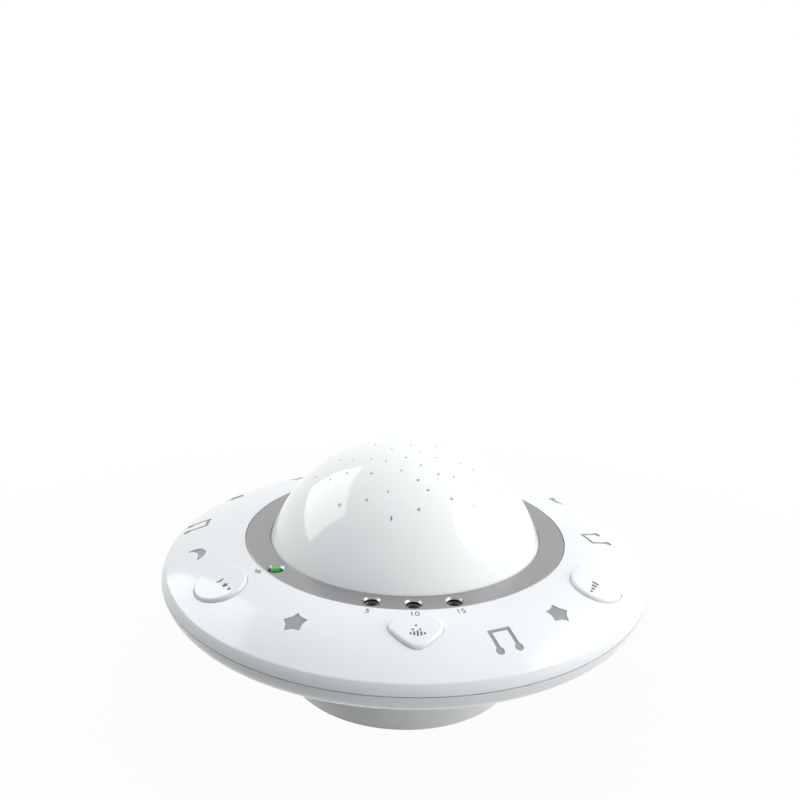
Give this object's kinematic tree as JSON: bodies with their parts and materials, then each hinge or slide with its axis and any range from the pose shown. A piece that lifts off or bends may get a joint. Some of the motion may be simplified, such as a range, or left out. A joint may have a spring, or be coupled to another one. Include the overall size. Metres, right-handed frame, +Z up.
{
  "type": "star night light projector",
  "caption": "Saucer-shaped star night light projector: milky pierced dome in a silver ring, press pads, indicator lamps and a round foot with a battery bay.",
  "frame": {"origin": "centre of the base, on the table under the rubber feet", "axes": "+Z up through the dome, -Y towards the front with the timer lamps and the microphone pad"},
  "size_m": [0.19, 0.19, 0.0976],
  "materials": {
    "black_rubber": "black soft rubber",
    "board_green": "green solder mask over glass fibre board",
    "cell_jacket": "printed metal cell can, plain",
    "cone_paper": "black paper cone",
    "contact_nickel": "nickel-plated spring steel",
    "dome_milk": "milky gloss plastic that lets light through",
    "foot_rubber": "soft grey rubber",
    "frame_steel": "pressed steel",
    "lamp_clear": "water-clear epoxy lens",
    "lamp_green": "green epoxy lens",
    "lamp_smoke": "smoke-tinted epoxy lens",
    "metal_can": "drawn aluminium can",
    "ornament_silver": "silver-grey hot-stamped inlay",
    "screw_steel": "zinc-plated steel",
    "shell_white": "gloss white moulded plastic",
    "switch_black": "black moulded plastic",
    "tray_white": "matt white reflector plastic",
    "trim_silver": "silver-grey painted plastic, satin"
  },
  "bodies": {
    "lamp": {"battery_left": "cell_jacket", "battery_middle": "cell_jacket", "battery_plate_contacts": "contact_nickel", "battery_right": "cell_jacket", "battery_spring_contacts": "contact_nickel", "bezel_ring": "trim_silver", "board_capacitors": "metal_can", "board_screws": "screw_steel", "case_screws": "screw_steel", "control_board": "board_green", "control_chip": "switch_black", "dome": "dome_milk", "lamp_board": "board_green", "lamp_board_screws": "screw_steel", "lower_shell": "shell_white", "mic_boot": "black_rubber", "mic_capsule": "metal_can", "mic_pad": "shell_white", "mode_switch_body": "switch_black", "moon_inlays": "ornament_silver", "note_inlays": "ornament_silver", "power_switch_body": "switch_black", "projection_lamps": "lamp_clear", "reflector_tray": "tray_white", "rubber_foot_1": "foot_rubber", "rubber_foot_2": "foot_rubber", "rubber_foot_3": "foot_rubber", "rubber_foot_4": "foot_rubber", "speaker_cone": "cone_paper", "speaker_frame": "frame_steel", "speaker_magnet": "frame_steel", "star_inlays": "ornament_silver", "timer_lamp_left": "lamp_smoke", "timer_lamp_middle": "lamp_smoke", "timer_lamp_right": "lamp_smoke", "tray_screws": "screw_steel", "upper_shell": "shell_white", "voice_lamp": "lamp_green", "volume_switch_body": "switch_black"},
    "mode_pad": {"mode_button": "shell_white", "mode_switch_plunger": "switch_black"},
    "volume_pad": {"volume_button": "shell_white", "volume_switch_plunger": "switch_black"},
    "battery_cover": {"battery_door": "shell_white", "battery_door_screw": "screw_steel"},
    "power_slider": {"power_switch_slider": "switch_black"}
  },
  "joints": [
    {"name": "mode_press", "type": "slide", "parent": "lamp", "child": "mode_pad", "axis": [0, 0, -1], "range_m": [0, 0.0005], "stiffness_N_per_m": 3000},
    {"name": "volume_press", "type": "slide", "parent": "lamp", "child": "volume_pad", "axis": [0, 0, -1], "range_m": [0, 0.0005], "stiffness_N_per_m": 3000},
    {"name": "battery_door_lift", "type": "slide", "parent": "lamp", "child": "battery_cover", "axis": [0, 0, -1], "range_m": [0, 0.02]},
    {"name": "power_slide", "type": "slide", "parent": "lamp", "child": "power_slider", "axis": [0, 1, 0], "range_m": [0, 0.003]}
  ]
}
